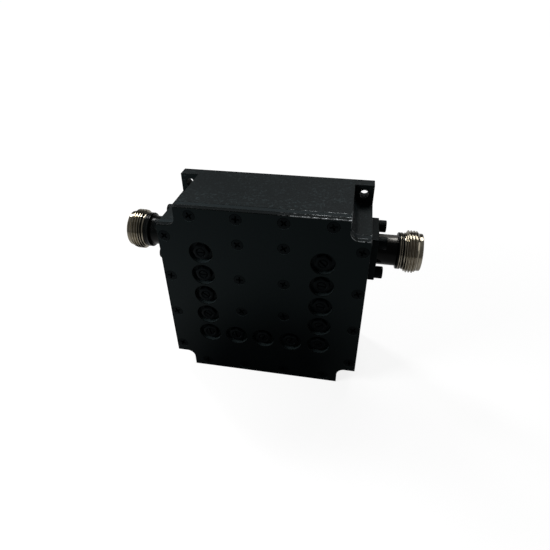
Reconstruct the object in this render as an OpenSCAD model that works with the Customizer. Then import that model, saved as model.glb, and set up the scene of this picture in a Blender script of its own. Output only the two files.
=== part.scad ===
// Cavity bandpass filter with a flanged coaxial jack on each side. All lengths are in millimetres.
// The cover looks towards -Y, and the part stands on the middle of its bottom face with Z upwards.

/* [Housing] */
// Width of the housing across its mounting ears
body_w = 76; // [75:0.5:90]
// Height of the housing
body_h = 77; // [76:0.5:95]
// Depth of the milled housing, without its lid and cover
body_d = 29; // [26:0.5:40]
// Thickness of the wall behind the cavities
floor_t = 4.5; // [4:0.1:6]
// Width of each corner notch
notch_w = 7.2; // [6:0.1:7.6]
// Height of each corner notch
notch_h = 7.5; // [6:0.1:8]
// Radius of the inside corner of each notch
notch_r = 3; // [0.5:0.1:4]
// Thickness of the mounting ears
ear_t = 5; // [3:0.1:10]
// Diameter of the hole in each ear
ear_hole_d = 3.4; // [2.5:0.1:5]
// Distance of the ear holes from the sides of the housing
ear_hole_side = 3.6; // [3.2:0.1:4]
// Distance of the ear holes from the top and the bottom of the housing
ear_hole_end = 3.75; // [3.2:0.05:4.2]

/* [Lid and cover] */
// Thickness of the inner lid that carries the tuning screws
lid_t = 2.5; // [1.5:0.1:4]
// Thickness of the outer cover
cover_t = 2; // [1.7:0.1:3]
// Diameter of the cover's holes around the lock nuts
access_hole_d = 8.8; // [7:0.1:9.2]

/* [Cavities] */
// Distance of each outer resonator column from the middle
column_x = 22.3; // [21.5:0.1:23.5]
// Height of the lowest resonator row above the base
row_z = 20; // [18:0.5:21]
// Distance between resonator rows
row_pitch = 19.5; // [18.5:0.1:20]
// Width of one cavity
cell_w = 20; // [17:0.1:20.5]
// Height of one cavity
cell_h = 17.2; // [15:0.1:17.6]
// Corner radius of the cavities
cell_r = 2.5; // [1:0.1:4]
// Width of the openings between neighbouring cavities
window_w = 8; // [6:0.5:10]
// Depth of those openings, from the lid
window_d = 17.5; // [12:0.5:20]

/* [Resonators] */
// Outer diameter of a resonator post
post_d = 7; // [6.4:0.1:9]
// Length of a resonator post
post_l = 20.5; // [16:0.1:22]
// Bore of the cup in a resonator post
cup_d = 5; // [4.8:0.1:5.4]
// Thickness of the cup's floor, under its fixing screw
cup_floor_t = 2.5; // [1.5:0.1:4]

/* [Tuning screws] */
// Thread diameter of the tuning and coupling screws
tuner_d = 3; // [2.5:0.1:3.4]
// Length of a tuning screw, over a resonator
tuner_l = 10; // [7:0.5:14]
// Length of a coupling screw, between two resonators
coupler_l = 14; // [8:0.5:17]
// Depth of those screws' ends behind the cover's face
tuner_sink = 0.2; // [0:0.1:0.8]
// Width of their screwdriver slots
slot_w = 0.6; // [0.3:0.1:1]
// Depth of their screwdriver slots
slot_depth = 0.8; // [0.4:0.1:1.5]
// Width of the lock nuts across their flats
nut_af = 5.5; // [5:0.1:6]
// Thickness of the lock nuts
nut_t = 1.8; // [1.2:0.1:2.4]

/* [Cover screws] */
// Thread diameter of the cover, flange and resonator screws
screw_d = 2.5; // [2:0.1:2.6]
// Length of a cover screw, head included
cover_screw_l = 8; // [6:0.5:12]
// Head diameter of a cover screw
cover_head_d = 4.4; // [4:0.1:4.8]
// Height of the straight rim above the cone of that head
cover_head_rim = 0.15; // [0:0.05:0.3]
// Depth of the heads behind the cover's face
cover_head_sink = 0.1; // [0:0.05:0.2]
// Length of the cross recess from tip to tip
cross_l = 2.7; // [2:0.1:3.2]
// Width of the arms of the cross recess
cross_w = 0.6; // [0.4:0.05:0.8]
// Depth of the cross recess
cross_depth = 1; // [0.5:0.1:1.2]
// Turn of each screw's slot or cross against the one before it, in degrees
driver_step = 37; // [0:1:89]
// Distance of the top and bottom rows of screws from the ends
end_inset = 3.1; // [2.5:0.1:4]
// Distance of the side screws from the sides
side_inset = 2.6; // [2.5:0.1:2.9]
// Distance between the screws of a top or bottom row
end_pitch = 16.7; // [15:0.1:17.4]
// Distance between the screws of a side column
side_pitch = 17.7; // [15:0.1:18.2]
// Height of the lowest pair of screws on the island between the cavities
island_z = 33; // [32:0.1:36]
// Distance between the pairs of screws on the island
island_pitch = 15.4; // [12:0.1:16.5]

/* [Cap screws] */
// Head diameter of the flange and resonator screws
cap_head_d = 4.6; // [4:0.1:4.6]
// Head height of the flange and resonator screws
cap_head_h = 2.9; // [1.5:0.1:3.4]
// Width across flats of their hexagon sockets
socket_af = 2; // [1.5:0.1:2.5]
// Depth of their hexagon sockets
socket_depth = 1.2; // [0.6:0.1:1.4]
// Length of a flange screw under its head
flange_screw_l = 7; // [5:0.5:7.5]
// Length of a resonator screw under its head
post_screw_l = 5; // [4:0.1:5.6]

/* [Jacks] */
// Distance of the jacks' axis behind the cover's face
jack_depth = 18.5; // [17:0.1:21]
// Height of the jacks' axis above the base
jack_z = 56; // [54.5:0.1:58]
// Side length of the square flange
flange_w = 17.5; // [17:0.1:19]
// Thickness of the flange
flange_t = 3; // [2:0.1:4]
// Distance between neighbouring flange screws
flange_pitch = 12.7; // [12:0.1:13.5]
// Diameter of the neck behind the threaded end
neck_d = 11.5; // [10:0.1:12.4]
// Length of the neck from the flange to the collar
neck_l = 7.3; // [5:0.1:14]
// Diameter of the collar behind the thread
collar_d = 13.8; // [12.5:0.1:15]
// Length of the collar
collar_l = 2.9; // [1:0.1:4]
// Outside diameter of the coupling thread
thread_d = 15.875; // [15:0.005:17]
// Length of the coupling thread
thread_l = 4.6; // [3:0.1:8]
// Diameter of the plain lip ahead of the thread
lip_d = 14; // [12:0.1:14.6]
// Length of the plain lip
lip_l = 1.4; // [0.5:0.1:3]
// Bevel around the end of the lip
lip_bevel = 0.3; // [0.1:0.1:0.6]
// Diameter of the jack's mouth
mouth_d = 8.4; // [8:0.1:9]
// Depth of the jack's mouth
mouth_depth = 9.1; // [8:0.1:10]
// Diameter of the insulator
insulator_d = 7; // [6:0.1:7.4]
// Diameter of the insulator's collar, which the flange holds against the housing
insulator_collar_d = 9.2; // [8.4:0.1:10]
// Thickness of that collar
insulator_collar_t = 1.5; // [1:0.1:2]
// Outside diameter of the centre contact
contact_d = 3.04; // [2.8:0.02:3.2]
// Distance of the centre contact's tip behind the lip
contact_back = 4.8; // [4:0.1:5.5]
// Bore of the centre contact
contact_bore_d = 1.7; // [1.4:0.1:1.9]
// Depth of that bore
contact_bore_l = 4; // [3:0.1:5]
// Width of the slots across the centre contact
contact_slot_w = 0.3; // [0.2:0.05:0.4]
// Length of those slots
contact_slot_l = 3.2; // [2:0.1:3.4]
// Diameter of the contact's tail inside the insulator
tail_d = 2.1; // [1.9:0.05:2.6]
// Length of the tail that stands in the cavity
tail_out = 1.3; // [1:0.1:2]
// Depth of the solder cup in the tail
tail_cup_l = 1.6; // [1:0.1:2.4]
// Diameter of the tap wire
wire_d = 1; // [0.6:0.1:1.2]
// Straight length of the tap wire at the contact and at the resonator
wire_straight = 0.8; // [0.4:0.1:1.2]

/* [Clearances] */
// Radial gap in threads, bores and countersinks
fit_gap = 0.05; // [0.02:0.01:0.1]
// Radial gap around a screw in a clearance hole
screw_gap = 0.2; // [0.1:0.05:0.25]
// Free length at the bottom of a blind hole
end_gap = 0.5; // [0.2:0.1:0.5]

/* [Hidden] */
$fn = 64;

// Small overshoot of a cutting shape past the surface that it leaves through
cut = 1;

// Planes along Y, from the cover's face to the rear face
total_d = cover_t + lid_t + body_d;
front_y = -total_d / 2;
lid_y = front_y + cover_t;
body_y = lid_y + lid_t;
rear_y = total_d / 2;
floor_y = rear_y - floor_t;
post_y = floor_y - post_l;
jack_y = front_y + jack_depth;

// Planes along X
side_x = body_w / 2;
cell_side_x = column_x + cell_w / 2;
post_side_x = column_x + post_d / 2;
cup_side_x = column_x + cup_d / 2;

// Places on the front, each as [x, z]
rows = [for (i = [0:2]) row_z + i * row_pitch];
post_places = [
    [-column_x, rows[2]], [-column_x, rows[1]], [-column_x, rows[0]], [0, rows[0]],
    [column_x, rows[0]], [column_x, rows[1]], [column_x, rows[2]]
];
coupler_places = [for (i = [0:5]) (post_places[i] + post_places[i + 1]) / 2];
tuner_places = concat(post_places, coupler_places);
fours = [-1.5:1:1.5];
cover_screw_places = concat(
    [for (z = [end_inset, body_h - end_inset], i = fours) [i * end_pitch, z]],
    [for (side = [-1, 1], i = fours) [side * (side_x - side_inset), body_h / 2 + i * side_pitch]],
    [for (side = [-1, 1], i = [0:2]) [side * end_pitch / 2, island_z + i * island_pitch]]
);
ear_places = [
    for (side = [-1, 1], z = [ear_hole_end, body_h - ear_hole_end]) [side * (side_x - ear_hole_side), z]
];

// Stations along a jack, counted outwards from the housing's side
neck_end = flange_t + neck_l;
collar_end = neck_end + collar_l;
thread_end = collar_end + thread_l;
jack_end = thread_end + lip_l;
mouth_floor = jack_end - mouth_depth;
contact_tip = jack_end - contact_back;
wall_inside = cell_side_x - side_x;
tail_end = wall_inside - tail_out;

// Diameter of a tapped hole, a clearance hole and a countersink for the fixing screws
tapped_d = screw_d + 2 * fit_gap;
clear_d = screw_d + 2 * screw_gap;
head_cone_h = (cover_head_d - screw_d) / 2;

// Range over the indices of a list of places
function indices(places) = [0:len(places) - 1];

// Extrudes a shape drawn on the front, from y backwards by t
module along_y(y, t) {
    translate([0, y + t, 0]) rotate([90, 0, 0]) linear_extrude(t) children();
}

// Puts a turned shape on the front at place, with its axis running backwards from y
module turned_back(place, y) {
    translate([place[0], y, place[1]]) rotate([-90, 0, 0]) children();
}

// Puts a turned shape on the jacks' axis, running outwards from the right side
module turned_out(x) {
    translate([x, jack_y, jack_z]) rotate([0, 90, 0]) children();
}

// Draws the right-hand jack's piece as it is, or mirrored to the left
module on_side(side) {
    mirror([side < 0 ? 1 : 0, 0, 0]) children();
}

// Round hole through a plate or into the housing
module drill(places, y, t, d) {
    for (place = places) turned_back(place, y) cylinder(d = d, h = t);
}

// Rectangle with rounded corners, centred
module rounded_rectangle(w, h, r) {
    square([w, h - 2 * r], center = true);
    square([w - 2 * r, h], center = true);
    for (sx = [-1, 1], sz = [-1, 1]) translate([sx * (w / 2 - r), sz * (h / 2 - r)]) circle(r);
}

// Front outline of the housing's full size
module full_outline() {
    translate([-side_x, 0]) square([body_w, body_h]);
}

// Corner notch, drawn at the lower left corner
module notch() {
    translate([-cut, -cut]) square([notch_w + cut, notch_h - notch_r + cut]);
    translate([-cut, -cut]) square([notch_w - notch_r + cut, notch_h + cut]);
    translate([notch_w - notch_r, notch_h - notch_r]) circle(notch_r);
}

// Front outline with the four corner notches
module notched_outline() {
    difference() {
        full_outline();
        for (flip_x = [0, 1], flip_z = [0, 1])
            translate([flip_x == 1 ? side_x : -side_x, flip_z == 1 ? body_h : 0])
                mirror([flip_x, 0]) mirror([0, flip_z]) notch();
    }
}

// Countersunk screw, its head's face at z = 0 and its tip along +Z
module countersunk_screw() {
    difference() {
        rotate_extrude() polygon([
            [0, 0], [cover_head_d / 2, 0], [cover_head_d / 2, cover_head_rim],
            [screw_d / 2, cover_head_rim + head_cone_h], [screw_d / 2, cover_screw_l], [0, cover_screw_l]
        ]);
        for (turn = [0, 90]) rotate(turn)
            translate([-cross_l / 2, -cross_w / 2, -cut]) cube([cross_l, cross_w, cross_depth + cut]);
    }
}

// Space for a countersunk screw's head and shank
module countersink() {
    top = cover_head_sink + cover_head_rim;
    rotate_extrude() polygon([
        [0, -cut], [cover_head_d / 2 + fit_gap, -cut], [cover_head_d / 2 + fit_gap, top],
        [clear_d / 2, top + (cover_head_d - clear_d) / 2 + fit_gap], [clear_d / 2, cover_t + cut],
        [0, cover_t + cut]
    ]);
}

// Socket cap screw, seated at z = 0 with its shank along +Z
module cap_screw(length) {
    difference() {
        union() {
            translate([0, 0, -cap_head_h]) cylinder(d = cap_head_d, h = cap_head_h);
            cylinder(d = screw_d, h = length);
        }
        translate([0, 0, -cap_head_h - cut])
            cylinder(d = socket_af / cos(30), h = socket_depth + cut, $fn = 6);
    }
}

// Slotted headless screw, its slotted end at z = 0
module slotted_screw(length) {
    difference() {
        cylinder(d = tuner_d, h = length);
        translate([-tuner_d, -slot_w / 2, -cut]) cube([2 * tuner_d, slot_w, slot_depth + cut]);
    }
}

// Opening between two cavities, one above the other or side by side
module window(upright) {
    if (upright) square([window_w, row_pitch - cell_h + 2 * cut], center = true);
    else square([column_x - cell_w + 2 * cut, window_w], center = true);
}

module housing() {
    tap_depth = front_y + cover_head_sink + cover_screw_l + end_gap - body_y;
    color("#15181a") difference() {
        union() {
            along_y(body_y, body_d - ear_t) notched_outline();
            along_y(rear_y - ear_t, ear_t) full_outline();
        }
        for (place = post_places) along_y(body_y - cut, body_d - floor_t + cut)
            translate(place) rounded_rectangle(cell_w, cell_h, cell_r);
        for (i = indices(coupler_places)) along_y(body_y - cut, window_d + cut) translate(coupler_places[i])
            window(post_places[i][0] == post_places[i + 1][0]);
        drill(cover_screw_places, body_y - cut, tap_depth + cut, tapped_d);
        drill(post_places, floor_y - cut, post_screw_l - cup_floor_t + end_gap + cut, tapped_d);
        drill(ear_places, rear_y - ear_t - cut, ear_t + 2 * cut, ear_hole_d);
        for (side = [-1, 1]) on_side(side) {
            turned_out(cell_side_x - cut)
                cylinder(d = insulator_d + 2 * fit_gap, h = side_x - cell_side_x + 2 * cut);
            flange_screw_spots(side_x + flange_t - flange_screw_l - end_gap)
                cylinder(d = tapped_d, h = flange_screw_l - flange_t + end_gap + cut);
        }
    }
}

module tuning_lid() {
    color("#1a1d1f") difference() {
        along_y(lid_y, lid_t) notched_outline();
        drill(cover_screw_places, lid_y - cut, lid_t + 2 * cut, clear_d);
        drill(tuner_places, lid_y - cut, lid_t + 2 * cut, tuner_d + 2 * fit_gap);
    }
}

module cover() {
    color("#101314") difference() {
        along_y(front_y, cover_t) notched_outline();
        for (place = cover_screw_places) turned_back(place, front_y) countersink();
        drill(tuner_places, front_y - cut, cover_t + 2 * cut, access_hole_d);
    }
}

module cover_screws() {
    color("#0c0e0f") for (i = indices(cover_screw_places))
        turned_back(cover_screw_places[i], front_y + cover_head_sink)
            rotate(i * driver_step) countersunk_screw();
}

module resonator(index) {
    place = post_places[index];
    color("#c9ccd0") difference() {
        turned_back(place, post_y) cylinder(d = post_d, h = post_l);
        turned_back(place, post_y - cut) cylinder(d = cup_d, h = post_l - cup_floor_t + cut);
        drill([place], floor_y - cup_floor_t - cut, cup_floor_t + 2 * cut, clear_d);
        if (index == 0 || index == 6) on_side(index == 0 ? -1 : 1)
            translate([column_x, jack_y, place[1]]) rotate([0, 90, 0])
                cylinder(d = wire_d + 2 * fit_gap, h = post_d / 2 + cut);
    }
}

module resonator_screws() {
    color("#8d9094") for (place = post_places)
        turned_back(place, floor_y - cup_floor_t) cap_screw(post_screw_l);
}

module tuning_screws() {
    color("#2b2d2f") for (i = indices(post_places))
        turned_back(post_places[i], front_y + tuner_sink)
            rotate(i * driver_step) slotted_screw(tuner_l);
}

module coupling_screws() {
    color("#2b2d2f") for (i = indices(coupler_places))
        turned_back(coupler_places[i], front_y + tuner_sink)
            rotate(i * driver_step) slotted_screw(coupler_l);
}

module lock_nuts() {
    color("#1d1f20") for (place = tuner_places) turned_back(place, lid_y - nut_t) difference() {
        cylinder(d = nut_af / cos(30), h = nut_t, $fn = 6);
        translate([0, 0, -cut]) cylinder(d = tuner_d + 2 * fit_gap, h = nut_t + 2 * cut);
    }
}

// Puts its children at the four flange screw places, their axis outwards from x
module flange_screw_spots(x) {
    for (sy = [-1, 1], sz = [-1, 1])
        translate([x, jack_y + sy * flange_pitch / 2, jack_z + sz * flange_pitch / 2])
            rotate([0, 90, 0]) children();
}

module jack_shell(side) {
    color("#3b3e40") on_side(side) difference() {
        union() {
            translate([side_x, jack_y - flange_w / 2, jack_z - flange_w / 2])
                cube([flange_t, flange_w, flange_w]);
            turned_out(side_x) rotate_extrude() polygon([
                [0, 0], [neck_d / 2, 0], [neck_d / 2, neck_end], [collar_d / 2, neck_end],
                [collar_d / 2, collar_end], [thread_d / 2, collar_end], [thread_d / 2, thread_end],
                [lip_d / 2, thread_end], [lip_d / 2, jack_end - lip_bevel],
                [lip_d / 2 - lip_bevel, jack_end], [0, jack_end]
            ]);
        }
        turned_out(side_x - cut) cylinder(d = insulator_d + 2 * fit_gap, h = mouth_floor + 2 * cut);
        turned_out(side_x - cut)
            cylinder(d = insulator_collar_d + 2 * fit_gap, h = insulator_collar_t + fit_gap + cut);
        turned_out(side_x + mouth_floor) cylinder(d = mouth_d, h = mouth_depth + cut);
        flange_screw_spots(side_x - cut) cylinder(d = clear_d, h = flange_t + 2 * cut);
    }
}

module insulator(side) {
    color("#e9e9e4") on_side(side) difference() {
        union() {
            turned_out(cell_side_x) cylinder(d = insulator_d, h = mouth_floor - wall_inside);
            turned_out(side_x) cylinder(d = insulator_collar_d, h = insulator_collar_t);
        }
        turned_out(cell_side_x - cut)
            cylinder(d = tail_d + 2 * fit_gap, h = mouth_floor - wall_inside + 2 * cut);
    }
}

module centre_contact(side) {
    color("#d8b765") on_side(side) difference() {
        turned_out(side_x) rotate_extrude() polygon([
            [0, tail_end], [tail_d / 2, tail_end], [tail_d / 2, mouth_floor], [contact_d / 2, mouth_floor],
            [contact_d / 2, contact_tip], [0, contact_tip]
        ]);
        turned_out(side_x + contact_tip - contact_bore_l)
            cylinder(d = contact_bore_d, h = contact_bore_l + cut);
        turned_out(side_x + tail_end - cut) cylinder(d = wire_d + 2 * fit_gap, h = tail_cup_l + cut);
        for (turn = [0, 90]) turned_out(side_x + contact_tip - contact_slot_l) rotate(turn)
            translate([-contact_d, -contact_slot_w / 2, 0])
                cube([2 * contact_d, contact_slot_w, contact_slot_l + cut]);
    }
}

module flange_screws(side) {
    color("#161819") on_side(side) flange_screw_spots(side_x + flange_t) rotate([180, 0, 0])
        cap_screw(flange_screw_l);
}

// The wire leaves the contact level, climbs to the resonator's row, and ends level inside the post's wall
module tap_wire(side) {
    route = [
        [side_x + tail_end + tail_cup_l - end_gap, jack_z],
        [side_x + tail_end - wire_straight, jack_z],
        [post_side_x + wire_straight, rows[2]],
        [cup_side_x + wire_d / 2 + fit_gap, rows[2]]
    ];
    color("#d5d8db") on_side(side) for (i = [0:2]) hull() for (point = [route[i], route[i + 1]])
        translate([point[0], jack_y, point[1]]) sphere(d = wire_d, $fn = 20);
}

housing();
tuning_lid();
cover();
cover_screws();
resonator(0);  // resonator_1
resonator(1);  // resonator_2
resonator(2);  // resonator_3
resonator(3);  // resonator_4
resonator(4);  // resonator_5
resonator(5);  // resonator_6
resonator(6);  // resonator_7
resonator_screws();
tuning_screws();
coupling_screws();
lock_nuts();
jack_shell(-1);  // left_jack_shell
insulator(-1);  // left_insulator
centre_contact(-1);  // left_centre_contact
flange_screws(-1);  // left_flange_screws
tap_wire(-1);  // left_tap_wire
jack_shell(1);  // right_jack_shell
insulator(1);  // right_insulator
centre_contact(1);  // right_centre_contact
flange_screws(1);  // right_flange_screws
tap_wire(1);  // right_tap_wire
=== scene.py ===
"""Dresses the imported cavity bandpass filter, and sets up its studio and camera.

Shapes are built in millimetres. The deliver function turns each finished piece into the metres of the frame.
"""

import logging
import math
from dataclasses import dataclass
from enum import Enum

import bmesh
import bpy
from mathutils import Matrix, Vector


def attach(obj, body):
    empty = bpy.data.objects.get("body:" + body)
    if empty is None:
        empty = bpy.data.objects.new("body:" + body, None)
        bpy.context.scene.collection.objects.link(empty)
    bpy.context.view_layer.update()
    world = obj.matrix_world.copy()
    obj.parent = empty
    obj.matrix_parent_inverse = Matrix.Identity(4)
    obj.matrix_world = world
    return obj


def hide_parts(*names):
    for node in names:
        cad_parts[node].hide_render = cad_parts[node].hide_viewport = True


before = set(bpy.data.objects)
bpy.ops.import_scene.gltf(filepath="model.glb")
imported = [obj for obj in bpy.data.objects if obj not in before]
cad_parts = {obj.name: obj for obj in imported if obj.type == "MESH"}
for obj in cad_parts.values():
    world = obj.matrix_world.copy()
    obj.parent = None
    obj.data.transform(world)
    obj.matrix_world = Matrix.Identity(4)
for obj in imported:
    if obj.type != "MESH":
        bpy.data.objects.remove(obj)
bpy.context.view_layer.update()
LOG = logging.getLogger("filter")
METRE = 1000.0
BLOCK_HEIGHT = 77.0
# Facets that meet at less than this look smooth
SMOOTH_BELOW = math.radians(32)
# Edges sharper than this are rounded
SHARP_ABOVE = math.radians(38)
# Points closer than this are merged
WELD = 0.0005
# Points closer to a face than this count as on it
NEAR = 0.01
# How far a cutter stands out of the work
CLEAR = 1.0

Piece = bpy.types.Object
Material = bpy.types.Material
Tree = bpy.types.NodeTree
Node = bpy.types.Node
Socket = bpy.types.NodeSocket
Line = list[tuple[float, float]]


class Side(Enum):
    """Side of the filter that a jack is on, as the sign of its X."""

    LEFT = -1
    RIGHT = 1


class Drive(Enum):
    """Recess that turns a screw."""

    CROSS = "cross"
    SLOT = "slot"
    SOCKET = "socket"


def linear(code: str) -> tuple[float, float, float, float]:
    """Turns an sRGB hex value into linear red, green, blue and alpha."""
    parts = [int(code[i : i + 2], 16) / 255 for i in (1, 3, 5)]
    return (*(c / 12.92 if c <= 0.04045 else ((c + 0.055) / 1.055) ** 2.4 for c in parts), 1.0)


def add_node(tree: Tree, kind: str, settings: dict | None = None, links: list | dict | None = None) -> Node:
    """Adds a node to a tree, with its settings and links.

    Args:
        tree: Tree that the node goes into.
        kind: Blender's name for the kind of node.
        settings: The node's own properties, by name.
        links: Output sockets or plain values for its inputs, in order or by name. None leaves an input alone.

    Returns:
        The new node.
    """
    node = tree.nodes.new(kind)
    for name, value in (settings or {}).items():
        setattr(node, name, value)
    for key, value in links.items() if isinstance(links, dict) else enumerate(links or []):
        if isinstance(value, Socket):
            tree.links.new(value, node.inputs[key])
        elif value is not None:
            node.inputs[key].default_value = value
    return node


# Shapes


def ring(sides: int, radius: float, rise: float, flute: float = 0.0) -> list[Vector]:
    """Makes a ring of points round the Z axis.

    Args:
        sides: Number of points.
        radius: Distance of the points from the axis.
        rise: Height of the ring.
        flute: How far every other point lies inwards, for a knurl.

    Returns:
        The points, counterclockwise from +X.
    """
    points = []
    for i in range(sides):
        angle, reach = 2 * math.pi * i / sides, radius - flute * (i % 2)
        points.append(Vector((reach * math.cos(angle), reach * math.sin(angle), rise)))
    return points


def rounded_square(width: float, radius: float, rise: float) -> list[Vector]:
    """Makes a ring of points on a square with round corners.

    Args:
        width: Width across the flats.
        radius: Radius of the corners.
        rise: Height of the ring.

    Returns:
        The points, counterclockwise.
    """
    steps, quarter = 6, math.pi / 2
    reach = (width / 2 - radius) * math.sqrt(2)
    points = []
    for corner in range(4):
        centre = math.pi / 4 + quarter * corner
        for step in range(steps + 1):
            angle = quarter * (corner + step / steps)
            x = reach * math.cos(centre) + radius * math.cos(angle)
            y = reach * math.sin(centre) + radius * math.sin(angle)
            points.append(Vector((x, y, rise)))
    return points


def placed_in_scene(mesh: bpy.types.Mesh, name: str = "shape") -> Piece:
    """Links a new object with the mesh into the scene."""
    piece = bpy.data.objects.new(name, mesh)
    bpy.context.scene.collection.objects.link(piece)
    return piece


def skin(rings: list[list[Vector]], closed: bool = False) -> Piece:
    """Stretches a surface over rings of points.

    Args:
        rings: Rings with the same number of points, or single points for poles.
        closed: Whether the last ring joins the first. Otherwise the open ends get a face each.

    Returns:
        A new object with the closed surface.
    """
    shape = bmesh.new()
    loops = [[shape.verts.new(point) for point in points] for points in rings]
    for low, high in zip(loops, loops[1:] + loops[:1] if closed else loops[1:]):
        count = max(len(low), len(high))
        for i in range(count):
            j = (i + 1) % count
            corners = [low[i % len(low)], low[j % len(low)], high[j % len(high)], high[i % len(high)]]
            shape.faces.new(list(dict.fromkeys(corners)))
    if not closed:
        for loop in (loops[0], loops[-1]):
            if len(loop) > 1:
                shape.faces.new(loop)
    bmesh.ops.recalc_face_normals(shape, faces=shape.faces)
    mesh = bpy.data.meshes.new("shape")
    shape.to_mesh(mesh)
    shape.free()
    return placed_in_scene(mesh)


def turned(profile: Line, sides: int = 64, closed: bool = False) -> Piece:
    """Turns a profile round the Z axis.

    Args:
        profile: Radius and height of each point. A radius of 0 is a pole.
        sides: Number of facets round the axis.
        closed: Whether the profile is a closed line, as for a bushing.

    Returns:
        A new object with the turned surface.
    """
    return skin([ring(sides if radius else 1, radius, rise) for radius, rise in profile], closed)


def tapered_bar(length: float, width: float, depth: float, taper: float) -> Piece:
    """Makes a bar along X whose sides lean in as it goes down into the work, for cutting slots.

    Args:
        length: Length at the surface.
        width: Width at the surface.
        depth: Depth below the surface, along +Z.
        taper: How much each side leans in by the end.

    Returns:
        A new object, which stands clear of the surface.
    """
    rings = []
    for rise, lean in ((-CLEAR, 0.0), (0.0, 0.0), (depth, taper)):
        x, y = length / 2 - lean * length / width / 2, width / 2 - lean
        rings.append([Vector((sx * x, sy * y, rise)) for sx, sy in ((1, 1), (-1, 1), (-1, -1), (1, -1))])
    return skin(rings)


def settle(piece: Piece) -> Piece:
    """Turns a piece's modifiers into plain mesh.

    Args:
        piece: Object with its modifiers on.

    Returns:
        The same object, with a new mesh and no modifiers.
    """
    bpy.context.view_layer.update()
    graph = bpy.context.evaluated_depsgraph_get()
    result = piece.evaluated_get(graph)
    mesh = bpy.data.meshes.new_from_object(result, preserve_all_data_layers=True, depsgraph=graph)
    piece.modifiers.clear()
    piece.data = mesh
    return piece


def carve(piece: Piece, cutter: Piece, operation: str = "DIFFERENCE") -> Piece:
    """Cuts one shape with another, which is used up.

    Args:
        piece: Shape to cut.
        cutter: Shape to cut with.
        operation: DIFFERENCE or INTERSECT.

    Returns:
        The piece that was cut.
    """
    modifier = piece.modifiers.new("carve", "BOOLEAN")
    modifier.operation = operation
    modifier.solver = "EXACT"
    modifier.object = cutter
    settle(piece)
    bpy.data.objects.remove(cutter)
    return piece


def move(piece: Piece, matrix: Matrix) -> Piece:
    """Moves a piece's mesh and returns the piece, whose object stays at the origin."""
    piece.data.transform(matrix)
    return piece


def soften(piece: Piece, width: float, method: str = "ANGLE", edge_slot: int = -1) -> Piece:
    """Rounds a piece's edges.

    Args:
        piece: Piece with sharp edges.
        width: Width of the rounding.
        method: ANGLE for each sharp edge, or WEIGHT for edges by their bevel weight.
        edge_slot: Material slot that the rounded edges get, or -1 to keep that of their neighbours.

    Returns:
        The same piece, with rounded edges and flat faces that stay flat.
    """
    piece.data.shade_smooth()
    bevel = piece.modifiers.new("edges", "BEVEL")
    bevel.limit_method = method
    bevel.angle_limit = SHARP_ABOVE
    bevel.width = width
    bevel.segments = 3
    bevel.use_clamp_overlap = False
    bevel.material = edge_slot
    piece.modifiers.new("normals", "WEIGHTED_NORMAL").weight = 80
    return settle(piece)


def join(pieces: list[Piece]) -> Piece:
    """Puts the meshes of several pieces into the first one.

    Args:
        pieces: Pieces, which don't need to touch.

    Returns:
        The first piece. The others are used up.
    """
    shape = bmesh.new()
    for piece in pieces:
        shape.from_mesh(piece.data)
    shape.to_mesh(pieces[0].data)
    shape.free()
    for piece in pieces[1:]:
        bpy.data.objects.remove(piece)
    return pieces[0]


def smooth(piece: Piece) -> None:
    """Smooths a piece's normals between facets, and leaves its edges sharp."""
    piece.data.shade_smooth()
    piece.data.set_sharp_from_angle(angle=SMOOTH_BELOW)


def deliver(
    piece: Piece, name: str, materials: list[Material], slot: str, *nodes: str, faceted: bool = True
) -> None:
    """Turns a piece into metres, dresses it and hands it to the frame.

    Args:
        piece: Piece in millimetres.
        name: Name that it gets.
        materials: Its materials, in the order of its material slots.
        slot: The record's material slot. It is not used.
        nodes: CAD nodes that it stands for.
        faceted: Whether its normals still have to be smoothed between facets.
    """
    piece.name = piece.data.name = name
    piece.data.transform(Matrix.Scale(1 / METRE, 4))
    indices = [face.material_index for face in piece.data.polygons]
    piece.data.materials.clear()
    for material in materials:
        piece.data.materials.append(material)
    piece.data.polygons.foreach_set("material_index", indices)
    if faceted:
        smooth(piece)
    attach(piece, "root")
    if nodes:
        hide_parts(*nodes)
    LOG.info("%s: %d faces", name, len(piece.data.polygons))


# Geometry Nodes trees


def open_tree(name: str, inputs: dict[str, str]) -> tuple[Tree, Node]:
    """Starts a Geometry Nodes tree.

    Args:
        name: Name of the tree.
        inputs: Kind of each input's socket, by the input's name.

    Returns:
        The tree and its input node.
    """
    tree = bpy.data.node_groups.new(name, "GeometryNodeTree")
    tree.interface.new_socket(name="Geometry", in_out="INPUT", socket_type="NodeSocketGeometry")
    for label, kind in inputs.items():
        tree.interface.new_socket(name=label, in_out="INPUT", socket_type="NodeSocket" + kind)
    tree.interface.new_socket(name="Geometry", in_out="OUTPUT", socket_type="NodeSocketGeometry")
    return tree, add_node(tree, "NodeGroupInput")


def close_tree(tree: Tree, geometry: Socket, finish: Socket) -> Tree:
    """Ends a tree with plain mesh in one material, and returns it.

    Args:
        tree: Tree to end.
        geometry: What it has made.
        finish: Socket with the material.

    Returns:
        The same tree.
    """
    plain = add_node(tree, "GeometryNodeRealizeInstances", links=[geometry]).outputs[0]
    given = {"Geometry": plain, "Material": finish}
    dressed = add_node(tree, "GeometryNodeSetMaterial", links=given).outputs[0]
    add_node(tree, "NodeGroupOutput", links=[dressed])
    return tree


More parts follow.
